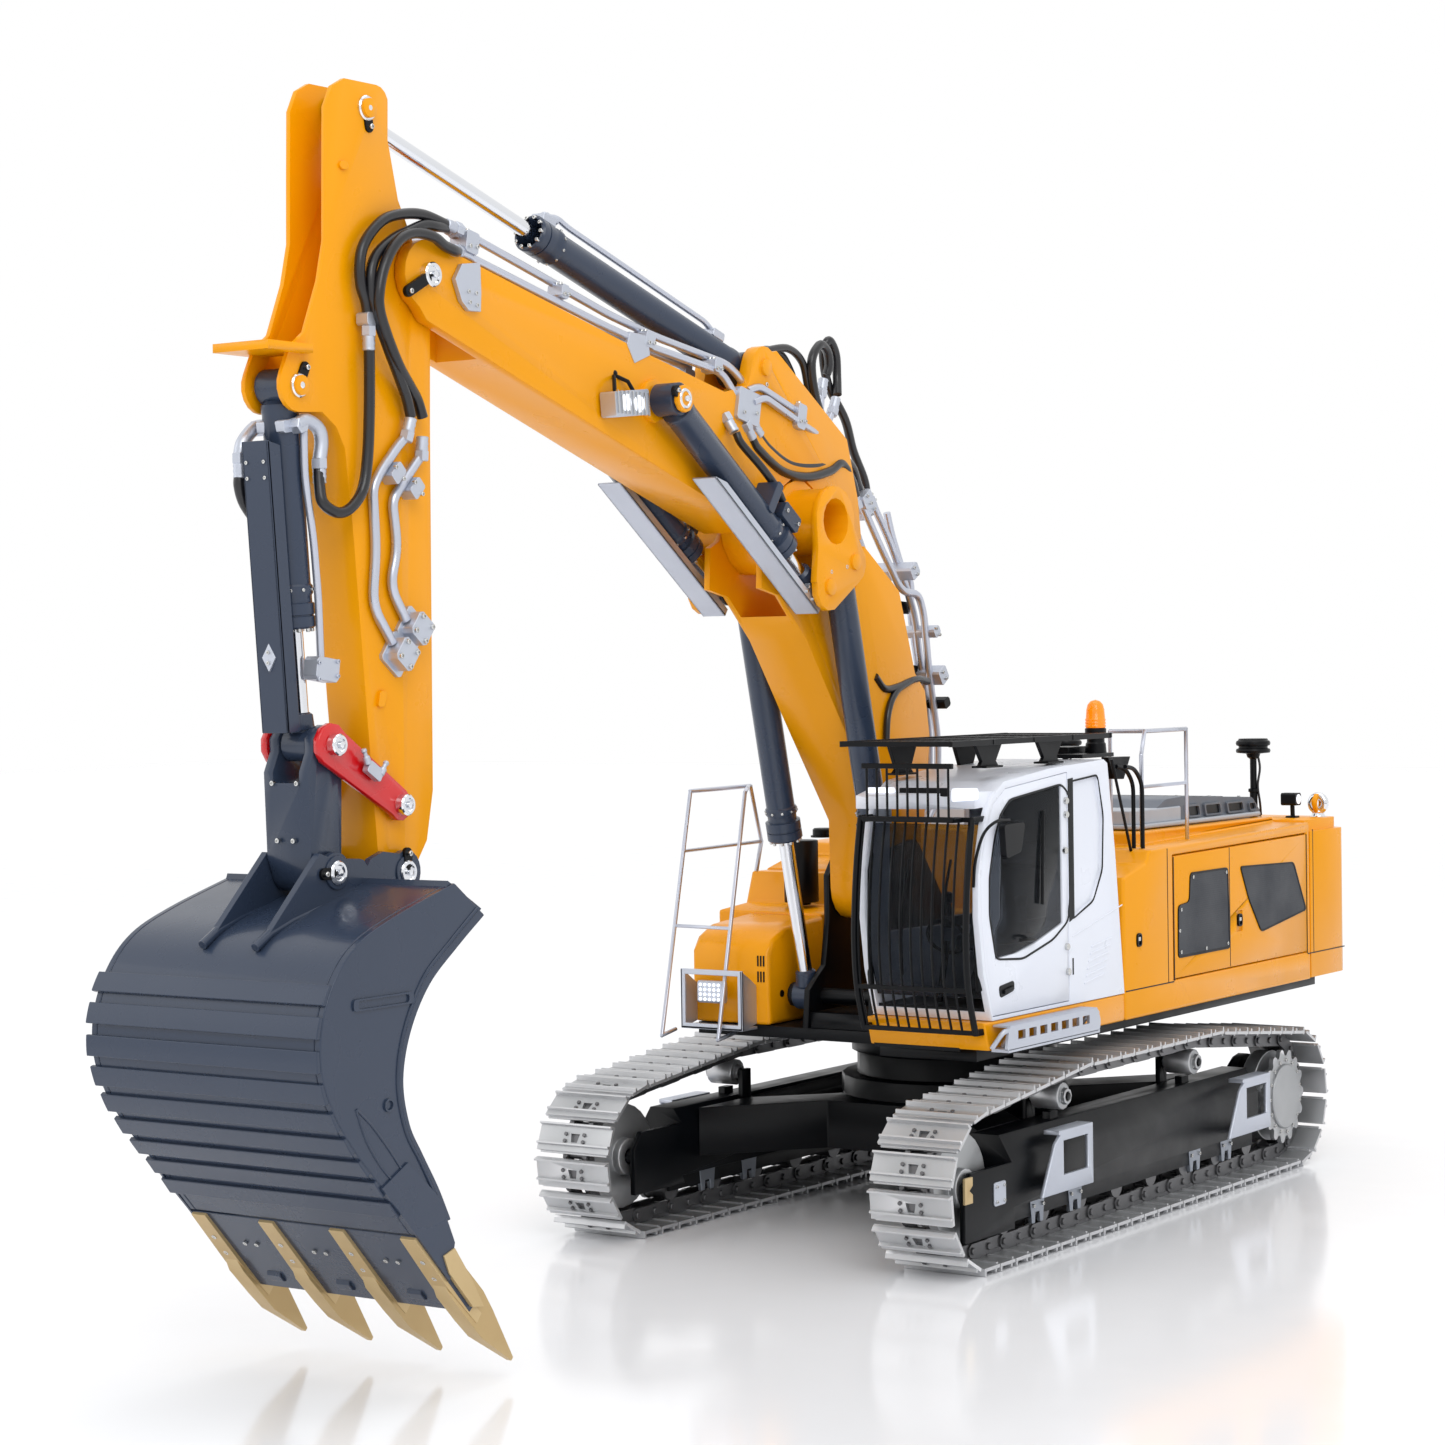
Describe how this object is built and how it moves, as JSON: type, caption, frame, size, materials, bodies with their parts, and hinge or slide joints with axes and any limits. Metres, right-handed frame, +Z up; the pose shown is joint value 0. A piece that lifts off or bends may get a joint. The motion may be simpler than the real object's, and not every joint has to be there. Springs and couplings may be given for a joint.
{
  "type": "toy excavator",
  "caption": "Radio-controlled crawler excavator model with a two-piece boom, stick, bucket, hydraulic cylinders, guarded cab and steel tracks.",
  "frame": {"origin": "middle of the footprint box on the ground, under the tracks' grouser tips", "axes": "+Z up, -Y towards the bucket, +X towards the cab side"},
  "size_m": [0.2304, 0.826, 0.5046],
  "materials": {
    "yellow": "gloss",
    "black": "semi-gloss",
    "slate": "gloss",
    "white": "gloss",
    "silver": "satin",
    "steel": "satin",
    "chrome": "polished",
    "red": "gloss",
    "bronze": "satin",
    "hood_grey": "satin",
    "glass": "polished",
    "amber": "gloss",
    "plastic": "matt"
  },
  "bodies": {
    "undercarriage": {"track_left": "steel", "track_right": "steel", "track_frame_left": "black", "track_frame_right": "black", "step_left_front": "silver", "step_left_rear": "silver", "step_right_front": "silver", "step_right_rear": "silver", "centre_frame": "black", "slew_ring": "black"},
    "house": {"deck": "black", "boom_bracket": "black", "engine_housing": "yellow", "counterweight": "yellow", "right_tank": "yellow", "tool_box": "yellow", "canister": "black", "side_handrail": "silver", "cab_base": "yellow", "cab_shell": "white", "windscreen": "glass", "seat": "plastic", "front_guard": "black", "roof_guard": "black", "beacon": "amber", "cab_step": "silver", "deck_railing": "silver", "mast_left": "black", "mast_right": "black"},
    "cab_door": {"cab_door": "white", "door_glass": "glass"},
    "side_door": {"side_door": "yellow"},
    "hood": {"hood": "hood_grey"},
    "boom": {"lower_boom": "yellow"},
    "upper": {"upper_boom": "yellow"},
    "arm": {"stick": "yellow"},
    "shovel": {"bucket": "slate", "bucket_lip": "bronze"},
    "rocker": {"rocker": "red"},
    "link": {"link": "slate"},
    "stick_barrel": {"stick_barrel": "slate"},
    "stick_rod": {"stick_rod": "chrome"},
    "bucket_barrel": {"bucket_barrel": "slate"},
    "bucket_rod": {"bucket_rod": "slate"},
    "idler_left": {"idler_left": "steel"},
    "sprocket_left": {"sprocket_left": "steel"},
    "boom_barrel_left": {"boom_barrel_left": "slate"},
    "boom_rod_left": {"boom_rod_left": "chrome"},
    "adjust_barrel_left": {"adjust_barrel_left": "slate"},
    "adjust_rod_left": {"adjust_rod_left": "chrome"},
    "carrier_left_front": {"carrier_left_front": "steel"},
    "carrier_left_rear": {"carrier_left_rear": "steel"},
    "idler_right": {"idler_right": "steel"},
    "sprocket_right": {"sprocket_right": "steel"},
    "boom_barrel_right": {"boom_barrel_right": "slate"},
    "boom_rod_right": {"boom_rod_right": "chrome"},
    "adjust_barrel_right": {"adjust_barrel_right": "slate"},
    "adjust_rod_right": {"adjust_rod_right": "chrome"},
    "carrier_right_front": {"carrier_right_front": "steel"},
    "carrier_right_rear": {"carrier_right_rear": "steel"}
  },
  "joints": [
    {"name": "swing", "type": "hinge", "parent": "undercarriage", "child": "house", "pos_m": [0, 0.1415, 0.09], "axis": [0, 0, 1], "continuous": true},
    {"name": "boom_lift", "type": "hinge", "parent": "house", "child": "boom", "pos_m": [0, 0.0655, 0.166], "axis": [-1, 0, 0], "range_deg": [-45, 5]},
    {"name": "boom_adjust", "type": "hinge", "parent": "boom", "child": "upper", "pos_m": [0, -0.0245, 0.3425], "axis": [1, 0, 0], "range_deg": [-25, 5]},
    {"name": "stick_swing", "type": "hinge", "parent": "upper", "child": "arm", "pos_m": [0, -0.2932, 0.4323], "axis": [-1, 0, 0], "range_deg": [-35, 15]},
    {"name": "bucket_curl", "type": "hinge", "parent": "arm", "child": "shovel", "pos_m": [0, -0.3108, 0.1972], "axis": [1, 0, 0], "range_deg": [-8, 45]},
    {"name": "cab_door_hinge", "type": "hinge", "parent": "house", "child": "cab_door", "pos_m": [0.1055, 0.0691, 0.17], "axis": [0, 0, 1], "range_deg": [0, 85]},
    {"name": "side_door_hinge", "type": "hinge", "parent": "house", "child": "side_door", "pos_m": [0.1055, 0.1835, 0.146], "axis": [0, 0, -1], "range_deg": [0, 85]},
    {"name": "hood_hinge", "type": "hinge", "parent": "house", "child": "hood", "pos_m": [-0.08, 0.2755, 0.1884], "axis": [0, -1, 0], "range_deg": [0, 60]},
    {"name": "sprocket_left_spin", "type": "hinge", "parent": "undercarriage", "child": "sprocket_left", "pos_m": [0.094, 0.3155, 0.038], "axis": [1, 0, 0], "continuous": true},
    {"name": "idler_left_spin", "type": "hinge", "parent": "undercarriage", "child": "idler_left", "pos_m": [0.094, -0.0265, 0.038], "axis": [1, 0, 0], "continuous": true},
    {"name": "carrier_left_front_spin", "type": "hinge", "parent": "undercarriage", "child": "carrier_left_front", "pos_m": [0.094, 0.0695, 0.068], "axis": [1, 0, 0], "continuous": true},
    {"name": "carrier_left_rear_spin", "type": "hinge", "parent": "undercarriage", "child": "carrier_left_rear", "pos_m": [0.094, 0.2135, 0.068], "axis": [1, 0, 0], "continuous": true},
    {"name": "sprocket_right_spin", "type": "hinge", "parent": "undercarriage", "child": "sprocket_right", "pos_m": [-0.094, 0.3155, 0.038], "axis": [1, 0, 0], "continuous": true},
    {"name": "idler_right_spin", "type": "hinge", "parent": "undercarriage", "child": "idler_right", "pos_m": [-0.094, -0.0265, 0.038], "axis": [1, 0, 0], "continuous": true},
    {"name": "carrier_right_front_spin", "type": "hinge", "parent": "undercarriage", "child": "carrier_right_front", "pos_m": [-0.094, 0.0695, 0.068], "axis": [1, 0, 0], "continuous": true},
    {"name": "carrier_right_rear_spin", "type": "hinge", "parent": "undercarriage", "child": "carrier_right_rear", "pos_m": [-0.094, 0.2135, 0.068], "axis": [1, 0, 0], "continuous": true},
    {"name": "boom_rod_left_pivot", "type": "hinge", "parent": "house", "child": "boom_rod_left", "pos_m": [0.026, 0.0439, 0.113], "axis": [-1, 0, 0], "range_deg": [-39, 6]},
    {"name": "boom_barrel_left_pivot", "type": "hinge", "parent": "boom", "child": "boom_barrel_left", "pos_m": [0.026, -0.0082, 0.324], "axis": [-1, 0, 0], "range_deg": [-2, 9]},
    {"name": "adjust_rod_left_pivot", "type": "hinge", "parent": "boom", "child": "adjust_rod_left", "pos_m": [0.026, -0.0305, 0.3119], "axis": [1, 0, 0], "range_deg": [-24, 6]},
    {"name": "adjust_barrel_left_pivot", "type": "hinge", "parent": "upper", "child": "adjust_barrel_left", "pos_m": [0.026, -0.1425, 0.392], "axis": [1, 0, 0], "range_deg": [-2, 4]},
    {"name": "boom_rod_right_pivot", "type": "hinge", "parent": "house", "child": "boom_rod_right", "pos_m": [-0.026, 0.0439, 0.113], "axis": [-1, 0, 0], "range_deg": [-39, 6]},
    {"name": "boom_barrel_right_pivot", "type": "hinge", "parent": "boom", "child": "boom_barrel_right", "pos_m": [-0.026, -0.0082, 0.324], "axis": [-1, 0, 0], "range_deg": [-2, 9]},
    {"name": "adjust_rod_right_pivot", "type": "hinge", "parent": "boom", "child": "adjust_rod_right", "pos_m": [-0.026, -0.0305, 0.3119], "axis": [1, 0, 0], "range_deg": [-24, 6]},
    {"name": "adjust_barrel_right_pivot", "type": "hinge", "parent": "upper", "child": "adjust_barrel_right", "pos_m": [-0.026, -0.1425, 0.392], "axis": [1, 0, 0], "range_deg": [-2, 4]},
    {"name": "stick_barrel_pivot", "type": "hinge", "parent": "upper", "child": "stick_barrel", "pos_m": [0, -0.0515, 0.413], "axis": [-1, 0, 0], "range_deg": [-8, 4]},
    {"name": "stick_rod_pivot", "type": "hinge", "parent": "arm", "child": "stick_rod", "pos_m": [0, -0.3219, 0.4946], "axis": [-1, 0, 0], "range_deg": [-14, 30]},
    {"name": "rocker_pivot", "type": "hinge", "parent": "arm", "child": "rocker", "pos_m": [0, -0.3135, 0.2237], "axis": [1, 0, 0], "range_deg": [-9, 45]},
    {"name": "link_pivot", "type": "hinge", "parent": "rocker", "child": "link", "pos_m": [0, -0.353, 0.2483], "axis": [1, 0, 0], "range_deg": [-25, 6]},
    {"name": "bucket_barrel_pivot", "type": "hinge", "parent": "arm", "child": "bucket_barrel", "pos_m": [0, -0.3638, 0.3844], "axis": [1, 0, 0], "range_deg": [-6, 2]},
    {"name": "bucket_rod_pivot", "type": "hinge", "parent": "rocker", "child": "bucket_rod", "pos_m": [0, -0.353, 0.2483], "axis": [1, 0, 0], "range_deg": [-49, 10]}
  ],
  "couplings": [
    {"joint": "idler_left_spin", "follows": "sprocket_left_spin", "ratio": 1},
    {"joint": "carrier_left_front_spin", "follows": "sprocket_left_spin", "ratio": 2.8846},
    {"joint": "carrier_left_rear_spin", "follows": "sprocket_left_spin", "ratio": 2.8846},
    {"joint": "idler_right_spin", "follows": "sprocket_right_spin", "ratio": 1},
    {"joint": "carrier_right_front_spin", "follows": "sprocket_right_spin", "ratio": 2.8846},
    {"joint": "carrier_right_rear_spin", "follows": "sprocket_right_spin", "ratio": 2.8846},
    {"joint": "boom_rod_left_pivot", "follows": "boom_lift", "ratio": 0.829},
    {"joint": "boom_barrel_left_pivot", "follows": "boom_lift", "ratio": -0.171},
    {"joint": "adjust_rod_left_pivot", "follows": "boom_adjust", "ratio": 0.881},
    {"joint": "adjust_barrel_left_pivot", "follows": "boom_adjust", "ratio": -0.119},
    {"joint": "boom_rod_right_pivot", "follows": "boom_lift", "ratio": 0.829},
    {"joint": "boom_barrel_right_pivot", "follows": "boom_lift", "ratio": -0.171},
    {"joint": "adjust_rod_right_pivot", "follows": "boom_adjust", "ratio": 0.881},
    {"joint": "adjust_barrel_right_pivot", "follows": "boom_adjust", "ratio": -0.119},
    {"joint": "stick_barrel_pivot", "follows": "stick_swing", "ratio": 0.176},
    {"joint": "stick_rod_pivot", "follows": "stick_swing", "ratio": -0.824},
    {"joint": "rocker_pivot", "follows": "bucket_curl", "ratio": 0.96},
    {"joint": "link_pivot", "follows": "bucket_curl", "ratio": -0.52},
    {"joint": "bucket_barrel_pivot", "follows": "bucket_curl", "ratio": -0.089},
    {"joint": "bucket_rod_pivot", "follows": "bucket_curl", "ratio": -1.049}
  ]
}
